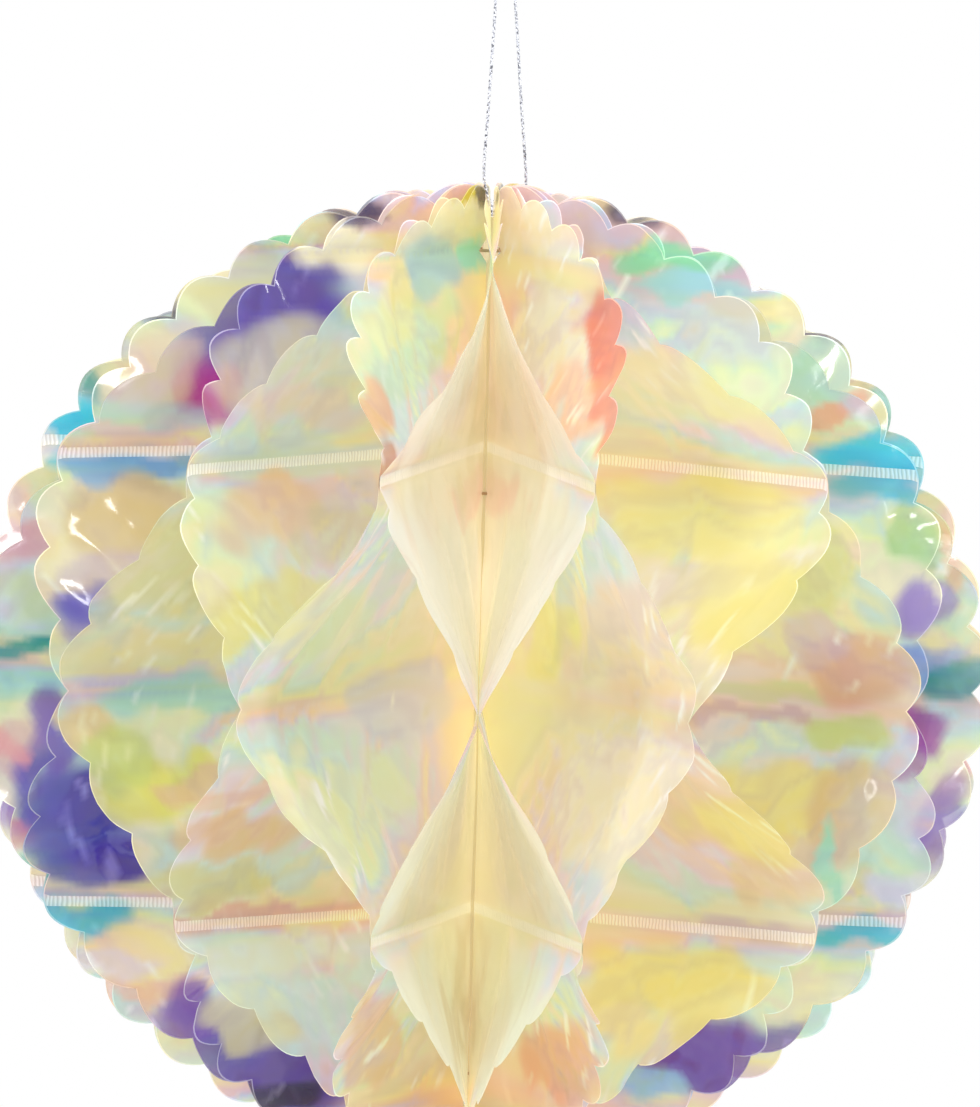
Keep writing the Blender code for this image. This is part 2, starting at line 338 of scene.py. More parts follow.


# Patches where the coating shows one colour: first and last leaf, place to the right of the spine and above
# the ball's middle in mm, half width and half height in mm, colour, and how much of the colour shows.
# The other half of the ball has the same patches, turned half way round the spine. A few are painted light
# and shade, marked below: a painted highlight, painted glints and painted shade down the spine valley.
PATCHES = (
    (9, 10, -62, 104, 27, 25, "5c38a6", 1.0),
    (9, 10, -78, 86, 9, 9, "b03c94", 0.95),
    # Painted highlight: near-white gold where the film catches the light
    (9, 11, -42, 127, 14, 7, "fffae0", 0.95),
    (7, 8, -76, 112, 18, 12, "ccc399", 0.7),
    (7, 8, -108, 86, 15, 12, "dcc9a4", 0.6),
    (8, 9, -92, 90, 14, 9, "e4bcb0", 0.7),
    (8, 9, -84, 78, 12, 5, "a9b6d8", 0.6),
    (6, 7, -126, 72, 9, 4, "2f9a96", 0.95),
    (8, 9, -100, 62, 24, 4, "78aede", 0.95),
    (8, 9, -104, 73, 20, 3, "f0cccb", 0.8),
    (8, 9, -104, 48, 18, 11, "d2b68a", 0.9),
    (8, 9, -108, 34, 10, 5, "c0a6ba", 0.7),
    (8, 9, -114, 23, 10, 7, "5a56b8", 0.95),
    (7, 8, -132, 38, 9, 5, "e0a2a6", 0.85),
    (7, 7, -133, 53, 10, 8, "cfbd8e", 0.7),
    (7, 8, -134, 22, 12, 8, "c9d6ab", 0.7),
    (7, 8, -132, 7, 16, 3, "1fa49a", 1.0),
    (7, 8, -132, -4, 16, 4, "a8e0d8", 0.8),
    (7, 8, -134, -24, 10, 9, "d8aca4", 0.75),
    (8, 9, -112, -34, 22, 16, "4a26a8", 1.0),
    (8, 9, -104, -51, 20, 7, "5030a8", 1.0),
    (8, 9, -122, -13, 8, 9, "6c52b6", 0.95),
    (6, 7, -138, -38, 6, 6, "5b3aa0", 0.9),
    (7, 8, -130, -46, 7, 4, "d47e9a", 0.8),
    (8, 8, -125, -57, 8, 6, "35a8a0", 0.9),
    (8, 9, -118, -67, 20, 5, "4cb8d4", 0.97),
    (8, 9, -104, -80, 15, 5, "dccce0", 0.8),
    (8, 9, -95, -90, 14, 4, "eab2a2", 0.8),
    (8, 9, -88, -99, 12, 5, "b4a6d2", 0.75),
    (9, 10, -58, -110, 34, 17, "5a2ca2", 1.0),
    (9, 10, -82, -96, 10, 9, "6c38a8", 0.95),
    (9, 10, -54, -119, 12, 5, "4a2a52", 0.9),
    (10, 11, -58, 92, 24, 14, "e6e2b8", 0.6),
    (10, 11, -50, 80, 18, 7, "efd0bf", 0.6),
    (10, 11, -55, 66, 32, 5, "d2e6de", 0.85),
    (10, 11, -60, 52, 17, 9, "edc8a2", 0.85),
    (10, 11, -42, 46, 10, 9, "d3cfa8", 0.7),
    (10, 11, -36, 56, 8, 6, "d8cde2", 0.7),
    (10, 11, -60, 27, 20, 9, "e8de8c", 0.85),
    (12, 12, -16, 134, 19, 12, "e4e4c6", 0.95),
    (10, 13, -6, 142, 4, 3, "d6c81e", 1.0),
    (10, 15, -1, 142, 2, 4, "35202c", 1.0),
    (12, 12, -17, 119, 9, 9, "a8d2e4", 0.95),
    (12, 12, -5, 121, 4, 6, "8ce0da", 0.9),
    (12, 12, -22, 100, 11, 11, "c8e8c2", 0.85),
    (12, 12, -31, 86, 6, 9, "efb090", 0.95),
    (12, 12, -29, 70, 3, 6, "c07c6c", 0.9),
    (12, 12, -28, 108, 5, 10, "efeeb0", 0.8),
    (10, 10, -92, 40, 28, 15, "dcd894", 0.85),
    (10, 10, -95, 14, 24, 6, "e6d6a4", 0.6),
    (10, 10, -98, 7, 22, 2, "d0cae4", 0.8),
    (10, 10, -80, 0, 26, 6, "9fe0de", 0.95),
    # The coating's yellow with painted glints, brightened where the crinkles catch the light
    (10, 10, -92, -26, 15, 9, "e6e468", 0.9),
    (10, 10, -110, -10, 10, 8, "ecca90", 0.8),
    (10, 10, -100, -17, 10, 10, "c6d87c", 0.85),
    (10, 11, -72, -27, 20, 4, "eab6a0", 0.7),
    (10, 11, -66, -40, 18, 7, "e6b686", 0.85),
    (10, 11, -78, -54, 20, 6, "d6ce90", 0.8),
    (10, 11, -62, -64, 30, 3, "e6b0a8", 0.85),
    (10, 11, -62, -75, 30, 6, "e6eedc", 0.75),
    (10, 11, -64, -97, 14, 8, "ddd49c", 0.85),
    (12, 12, -48, 24, 16, 18, "d8e8b4", 0.7),
    (12, 12, -22, -4, 16, 12, "d0cfe8", 0.97),
    (12, 12, -36, -30, 18, 11, "e4f0c0", 0.8),
    (12, 12, -26, -58, 12, 10, "f0dcc0", 0.6),
    (12, 12, -28, -100, 8, 13, "ecb892", 0.8),
    (13, 14, 0, 40, 36, 32, "ede8d6", 0.97),
    (13, 14, 0, 88, 34, 30, "eee8d4", 0.97),
    (13, 14, 12, 84, 12, 16, "efdcc0", 0.6),
    (13, 14, 0, 54, 11, 7, "ecc8be", 0.95),
    # Painted shade: narrow darker bands down the spine valley, above the middle
    (13, 14, 0, 72, 7, 24, "dcd8c4", 0.5),
    (13, 14, 0, 72, 3, 20, "cfc8a8", 0.45),
    (13, 14, 0, -46, 34, 26, "ebe6cc", 0.97),
    (13, 14, 0, -92, 30, 24, "e6e8cc", 0.97),
    # Painted shade: narrow darker bands down the spine valley, below the middle
    (13, 14, -2, -92, 6, 22, "d8ceae", 0.5),
    (13, 14, -2, -92, 3, 19, "c2b08e", 0.4),
    (15, 15, 16, 131, 21, 15, "f1e9c6", 0.95),
    (15, 15, 18, 102, 12, 16, "efe3c6", 0.9),
    (15, 15, 26, 88, 8, 10, "f4c0a4", 0.9),
    (15, 15, 36, 108, 8, 13, "e87664", 1.0),
    (15, 15, 38, 88, 7, 11, "ee8a78", 1.0),
    (15, 15, 20, 14, 9, 13, "f6f08e", 0.95),
    (15, 15, 44, 22, 18, 18, "f4cfb6", 0.8),
    (15, 15, 42, -22, 22, 26, "fcecc8", 0.85),
    (15, 15, 28, -104, 12, 14, "f0a88e", 0.9),
    (16, 16, 58, 92, 26, 14, "f2ecac", 0.75),
    (16, 16, 60, 54, 30, 11, "f4ec96", 0.9),
    (16, 16, 60, 36, 10, 5, "cfcad6", 0.8),
    (16, 16, 46, 34, 11, 8, "f2e8da", 0.9),
    (16, 16, 38, -95, 14, 8, "f8e498", 0.9),
    (16, 16, 78, 32, 20, 12, "f0e48c", 0.85),
    (16, 17, 78, 3, 26, 3, "cfd6a4", 0.8),
    (16, 17, 78, -4, 26, 2, "c6a6c2", 0.85),
    (16, 17, 62, -28, 12, 12, "f4cf9c", 0.8),
    (16, 17, 84, -30, 22, 12, "f4de80", 0.9),
    (16, 17, 86, -48, 16, 8, "eecc98", 0.8),
    (16, 16, 62, -82, 32, 9, "f4e484", 0.9),
    (16, 17, 80, -64, 16, 3, "d8bfc4", 0.7),
    (16, 19, 56, 127, 18, 5, "8addb4", 0.95),
    (16, 19, 60, 119, 18, 4, "a2dcec", 0.95),
    (17, 18, 73, 106, 15, 11, "d2d6ce", 0.7),
    (18, 20, 90, 111, 14, 6, "f2e4a0", 0.85),
    (18, 19, 98, 95, 11, 9, "a6dcc2", 0.75),
    (18, 19, 100, 83, 7, 3, "f29e86", 0.85),
    (19, 21, 119, 86, 6, 9, "2f9c98", 0.95),
    (19, 23, 41, 138, 10, 4, "40306a", 0.95),
    (19, 22, 97, 105, 9, 4, "4a3a70", 0.9),
    (18, 20, 118, 71, 22, 7, "2ccff0", 1.0),
    (18, 20, 116, 61, 18, 4, "62c4e2", 0.95),
    (20, 21, 135, 68, 4, 8, "f8eee6", 0.85),
    (17, 17, 96, 42, 10, 12, "dadf96", 0.8),
    (18, 19, 126, 48, 8, 10, "9ccc92", 0.9),
    (19, 20, 136, 42, 4, 12, "ebb696", 0.85),
    (18, 19, 127, 26, 10, 8, "8c74c6", 0.95),
    (18, 19, 129, 9, 10, 8, "7896de", 0.95),
    (19, 20, 140, 2, 9, 6, "2a9aa0", 0.95),
    (17, 17, 110, 14, 16, 12, "e6ac9c", 0.95),
    (17, 17, 96, 22, 8, 9, "d4b8d0", 0.7),
    (17, 17, 110, -7, 13, 6, "c4dc86", 0.85),
    (17, 17, 106, -32, 14, 14, "d6b490", 0.9),
    (17, 17, 103, -46, 3, 14, "86e0d0", 0.85),
    (18, 19, 128, -14, 7, 9, "9a4ca0", 1.0),
    (19, 20, 138, -38, 8, 12, "8862b2", 0.9),
    (20, 21, 141, -22, 6, 5, "ea9494", 0.85),
    (18, 19, 121, -56, 13, 6, "d4d6f0", 0.85),
    (18, 19, 117, -70, 16, 4, "52c6e2", 1.0),
    (17, 18, 76, -106, 30, 12, "6836a6", 1.0),
    (17, 18, 50, -116, 14, 5, "98c4e4", 0.95),
)


def welded_film():
    """The same film where two leaves are welded by a knurled bar: whitened, and full of small ticks. It has
    a painted glow, brighter than the film's, which stands for passed light.
    """
    material = new_material("Knurled weld in polyester film")
    tree = material.node_tree
    place = add_node(tree, "ShaderNodeUVMap", {"uv_map": "flat"})
    tint = add_node(tree, "ShaderNodeAttribute", {"attribute_name": "tint"})
    passed = add_node(tree, "ShaderNodeAttribute", {"attribute_name": "painted_passed_light"})
    ticks = add_node(
        tree,
        "ShaderNodeTexWave",
        {"wave_type": "BANDS", "bands_direction": "X", "wave_profile": "TRI"},
        {
            "Scale": 2 * math.pi / (20 * WELD_TICK_APART),
            "Distortion": 5.0,
            "Detail": 2.0,
            "Detail Scale": 0.6,
        },
        {"Vector": place.outputs["UV"]},
    )
    white = add_node(tree, "ShaderNodeValToRGB", links={"Fac": ticks.outputs["Fac"]})
    set_ramp(white, ((0.2, "cfc6bc"), (0.6, "faf6ee")))
    colour = add_node(
        tree,
        "ShaderNodeMix",
        {"data_type": "RGBA"},
        {0: 0.5},
        {6: tint.outputs["Color"], 7: white.outputs["Color"]},
    )
    # Painted glow of the weld: the passed light times the white ticks, at 1.6 times the film's strength
    painted_weld_glow = add_node(
        tree,
        "ShaderNodeMix",
        {"data_type": "RGBA", "blend_type": "MULTIPLY"},
        {0: 1.0},
        {6: passed.outputs["Color"], 7: white.outputs["Color"]},
    )
    bump = add_node(
        tree,
        "ShaderNodeBump",
        inputs={"Strength": 0.6, "Distance": 0.2 * MM},
        links={"Height": ticks.outputs["Fac"]},
    )
    shader = add_node(
        tree,
        "ShaderNodeBsdfPrincipled",
        inputs={"Roughness": 0.25, "IOR": 1.64, "Emission Strength": 1.6},
        links={
            "Base Color": colour.outputs[2],
            "Emission Color": painted_weld_glow.outputs[2],
            "Normal": bump.outputs["Normal"],
        },
    )
    return finish_material(material, shader)


def cut_edge():
    """Die-cut edge of the film, which in the real sheet gathers light from inside and shows as a bright
    line.
    Here that line is painted: a colour mixed toward near white, as a painted highlight, and the film's
    painted glow.
    """
    material = new_material("Cut edge of polyester film")
    tree = material.node_tree
    tint = add_node(tree, "ShaderNodeAttribute", {"attribute_name": "tint"})
    passed = add_node(tree, "ShaderNodeAttribute", {"attribute_name": "painted_passed_light"})
    # Painted highlight: the edge's colour is mixed toward near white
    painted_edge_highlight = add_node(
        tree,
        "ShaderNodeMix",
        {"data_type": "RGBA"},
        {0: 0.3, 7: srgb("fffbee")},
        {6: tint.outputs["Color"]},
    )
    shader = add_node(
        tree,
        "ShaderNodeBsdfPrincipled",
        inputs={"Roughness": 0.25, "IOR": 1.64, "Emission Strength": 1.0},
        links={"Base Color": painted_edge_highlight.outputs[2], "Emission Color": passed.outputs["Color"]},
    )
    return finish_material(material, shader)


def rim_place(angle, film):
    """Distance from the spine, and height, of the scalloped rim at an angle from the top pole."""
    across = (angle / math.pi * film.scallops) % 1.0
    inside = film.scallop_depth * (2 * across - 1) ** 2 + SHOULDER_DIP * math.sin(2 * angle) ** 2
    radius = (film.diameter / 2 - inside) * math.sin(angle)
    height = (film.height / 2 - inside) * math.cos(angle)
    return max(radius, LEAF_START + LEAF_LEAST_WIDTH), height


def inside_rim(radius, height, film, margin):
    """Whether a point of the flat pattern lies inside the rim by a margin."""
    angle = math.atan2(radius / film.diameter, height / film.height)
    rim = rim_place(angle, film)
    return math.hypot(radius, height) < math.hypot(*rim) - margin


def weld_line(level, film):
    """The two ends of a weld line on the flat pattern."""
    rim = rim_place(math.pi * WELD_STEPS[level] / PATTERN_STEPS, film)
    return (LEAF_START, WELD_HEIGHTS[level]), rim


def line_height(level, radius, film):
    """Height of a weld line at a distance from the spine."""
    (start, high), (end, low) = weld_line(level, film)
    return high + (low - high) * (radius - start) / (end - start)


def spine_outline(film):
    """Inner edge of the flat pattern from the top down, with a notch for each thread tie."""
    top = rim_place(0.0, film)[1]
    steps = round(2 * top / film.mesh_step)
    heights = [top - 2 * top * step / steps for step in range(steps + 1)]
    points = [(LEAF_START, height) for height in heights]
    for radius, middle in TIES.values():
        depth = radius + TIE_NOTCH_DEPTH
        mouth = (depth - LEAF_START) * NOTCH_SLOPE
        points = [point for point in points if abs(point[1] - middle) > mouth + SPINE_GAP]
        points += [(LEAF_START, middle + mouth), (depth, middle), (LEAF_START, middle - mouth)]
    return sorted(points, key=lambda point: -point[1])


def add_chain(points, edges, chain, closed=False):
    """Add a chain of points to the pattern, and the edges along it that the triangles have to keep."""
    first = len(points)
    points.extend(chain)
    edges.extend((first + index, first + index + 1) for index in range(len(chain) - 1))
    if closed:
        edges.append((first + len(chain) - 1, first))


def near_tie(radius, height, margin_out, margin_along):
    """Whether a point of the flat pattern lies by a thread tie, within a margin outwards and along."""
    return any(
        radius < tie_radius + margin_out and abs(height - middle) < margin_along
        for tie_radius, middle in TIES.values()
    )


def band_points(level, side, film):
    """Points along the middle or a side of a weld band, clear of the ties and the rim."""
    line = []
    radius = LEAF_START + LEAF_LEAST_WIDTH
    while radius < film.diameter / 2:
        height = line_height(level, radius, film) + side * film.weld_width / 2
        by_tie = near_tie(radius, height, 2 * MM, 4 * MM)
        if not by_tie and inside_rim(radius, height, film, BAND_RIM_MARGIN):
            line.append((radius, height))
        radius += BAND_POINTS_APART
    return line


def flat_pattern(film):
    """The leaf laid flat, as an array of points (distance, height) and an array of triangles."""
    points, edges = [], []
    rim_steps = film.scallops * RIM_POINTS_PER_SCALLOP
    rim = [rim_place(math.pi * step / rim_steps, film) for step in range(rim_steps, -1, -1)]
    add_chain(points, edges, spine_outline(film) + rim, closed=True)
    inner_rim = []
    for radius, height in rim[3:-3]:
        share = 1 - EDGE_STRIP / math.hypot(radius, height)
        inner_rim.append((radius * share, height * share))
    add_chain(points, edges, inner_rim)
    for level in range(len(WELD_HEIGHTS)):
        for side in (-1, 0, 1):
            add_chain(points, edges, band_points(level, side, film))
    points.extend(hex_points(film))
    flat, _, faces, *_ = delaunay_2d_cdt([Vector(p) for p in points], edges, [], 1, 1e-7)
    return np.array([tuple(p) for p in flat]), np.array([f[:3] for f in faces])


def hex_points(film):
    """Points at an even spacing inside the pattern, clear of the rim and of the weld bands."""
    step = film.mesh_step
    found = []
    rows = int(film.height / (step * ROW_SHARE)) + 1
    for row in range(-rows // 2, rows // 2 + 1):
        height = row * step * ROW_SHARE
        for column in range(int(film.diameter / 2 / step)):
            radius = LEAF_START + step * (column + 0.7 + 0.5 * (row % 2))
            if not inside_rim(radius, height, film, EDGE_STRIP + 0.55 * step):
                continue
            lines = [line_height(level, radius, film) for level in range(len(WELD_HEIGHTS))]
            near_weld = any(abs(height - line) < film.weld_width * 0.75 for line in lines)
            if not near_weld and not near_tie(radius, height, 3 * MM, 6 * MM):
                found.append((radius, height))
    return found


def weld_azimuths(film):
    """Azimuth in degrees of each leaf at each weld, read off the CAD leaves at the rim ends of the welds.
    Welded neighbours share the mean of theirs."""
    found = np.zeros((LEAF_COUNT, len(WELD_HEIGHTS)))
    for leaf, node in enumerate(LEAF_NODES):
        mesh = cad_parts[node].data
        places = np.empty(len(mesh.vertices) * 3)
        mesh.vertices.foreach_get("co", places)
        places = places.reshape(-1, 3)
        radius = np.hypot(places[:, 0], places[:, 1])
        for level in range(len(WELD_HEIGHTS)):
            end_radius, end_height = weld_line(level, film)[1]
            miss = np.hypot(radius - end_radius, places[:, 2] - BALL_MIDDLE - end_height)
            near = places[miss < 0.8 * MM]
            azimuth = math.degrees(math.atan2(near[:, 0].mean(), -near[:, 1].mean()))
            found[leaf, level] = azimuth + 360.0 * round((middle_azimuth(leaf) - azimuth) / 360.0)
    for level in range(len(WELD_HEIGHTS)):
        for leaf in range(level % 2, LEAF_COUNT + level % 2, 2):
            first, second = leaf % LEAF_COUNT, (leaf + 1) % LEAF_COUNT
            lap = 360.0 if second < first else 0.0
            mean = (found[first, level] + found[second, level] + lap) / 2
            found[first, level], found[second, level] = mean, mean - lap
    return found


def middle_azimuth(leaf):
    """Azimuth in degrees at which a leaf would stand if all leaves stood evenly, from the back round."""
    return 180.0 + 180.0 / LEAF_COUNT * (2 * leaf + 1)


def swing(points, ease, film):
    """For each point of the pattern: the weld above it, its share of the way to the next weld, and the
    weights of the weld azimuths, and of the leaf's own middle azimuth in the last column."""
    radius, height = points[:, 0], points[:, 1]
    count = len(WELD_HEIGHTS)
    lines = np.array([line_height(level, radius, film) for level in range(count)])
    band = film.weld_width / 2
    weights = np.zeros((len(points), count + 1))
    room = np.zeros(len(points))
    rows = np.arange(len(points))
    for level in range(-1, count):
        if level == -1:
            mask = height >= lines[0]
            share = np.clip((height - lines[0] - band) / (film.height / 2 - lines[0]), 0, 1)
            share = share * POLE_OPENING
            anchor, other = 0, count
        elif level == count - 1:
            mask = height < lines[level]
            share = np.clip((lines[level] - height - band) / (film.height / 2 + lines[level]), 0, 1)
            share = share * POLE_OPENING
            anchor, other = level, count
        else:
            mask = (height < lines[level]) & (height >= lines[level + 1])
            gap = lines[level] - lines[level + 1]
            share = np.clip((lines[level] - height - band) / (gap - 2 * band), 0, 1)
            share = share + ease * (share * share * (3 - 2 * share) - share)
            anchor, other = level, level + 1
        weights[rows[mask], anchor] = 1 - share[mask]
        weights[rows[mask], other] += share[mask]
        room[mask] = np.minimum(share, 1 - share)[mask]
    return weights, room, np.abs(lines - height).min(axis=0)


def noise_at(x, y, seed, size):
    """Smooth noise between about -1 and 1 at points of the flat pattern, with features of a size."""
    return np.array([noise.noise((a / size, b / size, seed)) for a, b in zip(x, y)])


def crease_at(x, y, seed, size):
    """Height from 0 up of flat facets with straight valleys between them, with facets of a size."""
    found = []
    for a, b in zip(x, y):
        near = noise.voronoi((a / size, b / size, seed))[0]
        found.append(near[1] - near[0])
    return np.array(found)


def leaf_shape(leaf, points, weights, room, azimuths, film):
    """Places of a leaf's points in the opened ball, with its folds and creases."""
    radius, height = points[:, 0], points[:, 1]
    azimuth = np.radians(weights @ np.append(azimuths[leaf], middle_azimuth(leaf)))
    sides = [1 if (leaf % 2 == 0) == (level % 2 == 1) else -1 for level in range(len(WELD_HEIGHTS))]
    offset = weights @ np.append(np.array(sides) * WELD_GAP, 0.0)
    cell = radius * np.radians(360.0 / LEAF_COUNT)
    limit = 2 * ROOM_SHARE * cell * room + 0.02 * MM
    push = offset + limit * np.tanh(leaf_relief(leaf, radius, height, film) / limit)
    x = radius * np.sin(azimuth) + push * np.cos(azimuth)
    y = -radius * np.cos(azimuth) + push * np.sin(azimuth)
    return np.stack((x, y, height + BALL_MIDDLE), axis=1)


def leaf_relief(leaf, radius, height, film):
    """How far the folds, creases, ripples and rim waves lift each point out of the leaf's plain form."""
    seed = 7.3 * leaf
    lean = 0.5 if leaf % 2 else -0.5
    fold = noise_at(radius, height, seed, FOLD_SIZE)
    broad = crease_at(radius + lean * height, height * 0.7, seed + 3.1, BROAD_CREASE_SIZE)
    small = crease_at(radius - lean * height, height, seed + 5.7, SMALL_CREASE_SIZE)
    ripple = noise_at(radius + 1.3 * lean * height, height * 0.35, seed + 8.8, RIPPLE_SIZE)
    ripple = ripple * np.clip(noise_at(radius, height, seed + 10.1, RIPPLE_PATCH_SIZE) * 2 + 0.3, 0, 1)
    near_rim = (np.hypot(radius, height) / (film.diameter / 2)) ** 6
    wave = noise_at(radius, height, seed + 12.4, RIM_WAVE_SIZE) * near_rim * RIM_WAVE_DEPTH
    creases = broad * BROAD_HEIGHT + small * SMALL_HEIGHT + ripple * RIPPLE_HEIGHT
    relief = fold * film.fold_depth + creases * film.crease_depth + wave
    return relief * (TAUT_SHARE if leaf in TAUT_LEAVES else 1.0)


def vertex_normals(places, faces):
    """Unit normals at the points of a mesh of triangles."""
    corners = places[faces]
    across = np.cross(corners[:, 1] - corners[:, 0], corners[:, 2] - corners[:, 0])
    normals = np.zeros_like(places)
    for corner in range(3):
        np.add.at(normals, faces[:, corner], across)
    return normals / np.maximum(np.linalg.norm(normals, axis=1, keepdims=True), 1e-12)


def turn_colour(codes, phase):
    """Linear colours at a phase from 0 to 1 on a ring of sRGB colours."""
    ring = np.array([[int(code[p : p + 2], 16) / 255 for p in (0, 2, 4)] for code in codes])
    ring = np.vstack((ring, ring[:1]))
    places = np.linspace(0.0, 1.0, len(ring))
    mixed = np.stack([np.interp(phase % 1.0, places, ring[:, channel]) for channel in range(3)], axis=1)
    return np.where(mixed <= 0.04045, mixed / 12.92, ((mixed + 0.055) / 1.055) ** 2.4)


def patch_share(leaf, points_xz, patch, warp):
    """How much of a patch shows at each point: all of it inside, fading over its soft border."""
    first, last, right, up, wide, tall, _, strength = patch
    share = np.zeros(len(points_xz))
    for turned, side in ((leaf + 1, 1.0), ((leaf + 1 + LEAF_COUNT // 2 - 1) % LEAF_COUNT + 1, -1.0)):
        if first <= turned <= last:
            across = (side * points_xz[:, 0] / MM - right + warp[0]) / wide
            along = (points_xz[:, 1] / MM - up + warp[1]) / tall
            share = strength * np.exp(-0.6 * (across**2 + along**2) ** PATCH_EDGE)
    return share


def crease_colours(seen, upward, cloud, glint_noise):
    """The colours with warm and cool fringes along creases, which also darken the film by its tilt as
    painted shade, and bright strokes that are painted glints.
    """
    # The fringes turn the coating's colour with tilt, and they also darken the film by its tilt along the
    # creases as painted shade
    fringe = np.sin(2 * math.pi * (FRINGES * upward + 1.2 * cloud))[:, None]
    warm = 1 - 0.45 * np.clip(fringe, 0, 1) * (1 - np.array(srgb("fff7c8")[:3]))
    cool = 1 - 0.35 * np.clip(-fringe, 0, 1) * (1 - np.array(srgb("d6cbf0")[:3]))
    seen = seen * warm * cool
    # Painted glints: in clustered strokes the colour goes toward a much brighter one
    painted_glint = np.clip((glint_noise - 0.38) * 7, 0, 1) * np.clip(cloud * 5 - 0.6, 0, 0.85)
    bright = np.clip(seen * 1.7 + 0.12, 0, 0.95)
    return seen + (bright - seen) * painted_glint[:, None]


def film_colours(leaf, points, places, faces, from_weld, film):
    """Linear colour of the film at each point, which follows the lie of the surface and the coating, with
    how much of the light it keeps, and the painted glow that stands for the light reaching it through other
    leaves."""
    normals = vertex_normals(places, faces)
    facing = np.abs(normals[:, 1])
    upward = normals[:, 2] * np.sign(-normals[:, 1])
    radius, height = points[:, 0], points[:, 1]
    cloud = noise_at(radius, height, 40.0 + 3.7 * leaf, CLOUD_SIZE)
    wisp = noise_at(radius, height, 55.0 + 2.3 * leaf, WISP_SIZE)
    streak = noise_at(radius * 0.12, height, 70.0 + 1.9 * leaf, STREAK_SIZE)
    streak = streak * np.exp(-from_weld / STREAK_REACH)
    phase = FACING_TURN * facing + CLOUD_TURN * cloud + SLANT_TURN * upward + STREAK_TURN * streak
    phase = phase + LEAF_TURN * math.sin(2.4 * leaf)
    side = np.hypot(places[:, 0], places[:, 2] - BALL_MIDDLE) / (film.diameter / 2)
    deep = np.clip((side - DEEP_START) * 2.5, 0, 1) * np.clip(0.35 + 1.2 * cloud, 0, 1) * DEEP_SHARE
    deep = deep[:, None]
    seen = turn_colour(PALE_TURN, phase) * (1 - deep) + turn_colour(DEEP_TURN, phase) * deep
    points_xz = np.stack((places[:, 0], places[:, 2] - BALL_MIDDLE), axis=1)
    warp = (9 * wisp, 6 * cloud + 5 * wisp)
    for patch in PATCHES:
        share = patch_share(leaf, points_xz, patch, warp)[:, None] * PATCH_STRENGTH
        colour = (np.array(srgb(patch[6])[:3]) - SHEEN_WHITE).clip(0.01)
        seen = seen * (1 - share) + colour * share
    lean = 0.8 if leaf % 2 else -0.8
    along, across = (height - lean * radius) * 0.22, radius + lean * height
    glint_noise = noise_at(across, along, 90.0 + 1.7 * leaf, PAINTED_GLINT_SIZE)
    seen = seen if leaf in TAUT_LEAVES else crease_colours(seen, upward, cloud, glint_noise)
    out = np.hypot(radius, height) / (film.diameter / 2)
    lit = np.interp(out, OPEN_LIGHT_PLACES, OPEN_LIGHT)[:, None]
    kept = np.interp(out, FREE_RIM_PLACES, FILM_KEPT)
    tint = np.column_stack((seen / (lit + (1 - lit) * seen), kept))
    # Painted glow: stronger near the spine, stronger on film that faces upward and weaker on film that
    # faces down, as painted light from above
    closed = 1 - np.clip(radius / (film.diameter / 2), 0, 1)
    slant = np.clip(1 + 2.2 * upward, 0.5, 1.6)
    passed = np.column_stack((seen * (PASSED_LIGHT * closed * slant)[:, None], np.ones(len(seen))))
    return tint, passed


def leaf_object(leaf, points, faces, places, from_weld, film, materials):
    """One leaf as an object. Its materials are the film, the welds, the cut edge and, where the leaf has
    one, the see-through film of the free rim."""
    mesh = bpy.data.meshes.new(f"film_leaf_{leaf + 1:02d}_sheet")
    mesh.from_pydata(places.tolist(), [], faces.tolist())
    flat = mesh.uv_layers.new(name="flat")
    corner_points = points[faces.reshape(-1)] + np.array((0.4 * leaf, 0.5))
    flat.data.foreach_set("uv", corner_points.astype(np.float32).reshape(-1))
    tint, passed = film_colours(leaf, points, places, faces, from_weld, film)
    for name, colours in (("tint", tint), ("painted_passed_light", passed)):
        layer = mesh.attributes.new(name, "FLOAT_COLOR", "POINT")
        layer.data.foreach_set("color", colours.astype(np.float32).reshape(-1))
    middles = points[faces].mean(axis=1)
    out = np.hypot(middles[:, 0], middles[:, 1])
    kind = np.zeros(len(faces), dtype=np.int32)
    if len(materials) > 3:
        kind[np.hypot(*points[faces].T).max(axis=0) > FREE_RIM * film.diameter / 2] = 3
    for level in KNURLED_WELDS:
        lines = line_height(level, middles[:, 0], film)
        kind[np.abs(middles[:, 1] - lines) < film.weld_width / 2] = 1
    angles = np.arctan2(middles[:, 0] / film.diameter, middles[:, 1] / film.height)
    rims = np.array([math.hypot(*rim_place(angle, film)) for angle in angles])
    kind[out > rims - EDGE_STRIP * 1.05] = 2
    for material in materials:
        mesh.materials.append(material)
    mesh.polygons.foreach_set("material_index", kind)
    mesh.shade_smooth()
    mesh.update()
    item = bpy.data.objects.new(mesh.name, mesh)
    bpy.context.scene.collection.objects.link(item)
    return item


class FILMBALL_OT_leaves(bpy.types.Operator):
    """Build the film leaves around the spine"""

    bl_idname = "filmball.leaves"
    bl_label = "Build the film leaves"

    def execute(self, context):
        film = context.scene.filmball_film
        points, faces = flat_pattern(film)
        azimuths = weld_azimuths(film)
        loose, taut = swing(points, WALL_EASE, film), swing(points, TAUT_EASE, film)
        inner = iridescent_film("Iridescent coated polyester film", False)
        rim = iridescent_film("Iridescent coated polyester film at the free rim", True)
        materials = (inner, welded_film(), cut_edge(), rim)
        for leaf, node in enumerate(LEAF_NODES):
            weights, room, from_weld = taut if leaf in TAUT_LEAVES else loose
            places = leaf_shape(leaf, points, weights, room, azimuths, film)
            used = materials[:3] if leaf in TAUT_LEAVES else materials
            item = leaf_object(leaf, points, faces, places, from_weld, film, used)
            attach(item, "root")
            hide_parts(node)
        return {"FINISHED"}


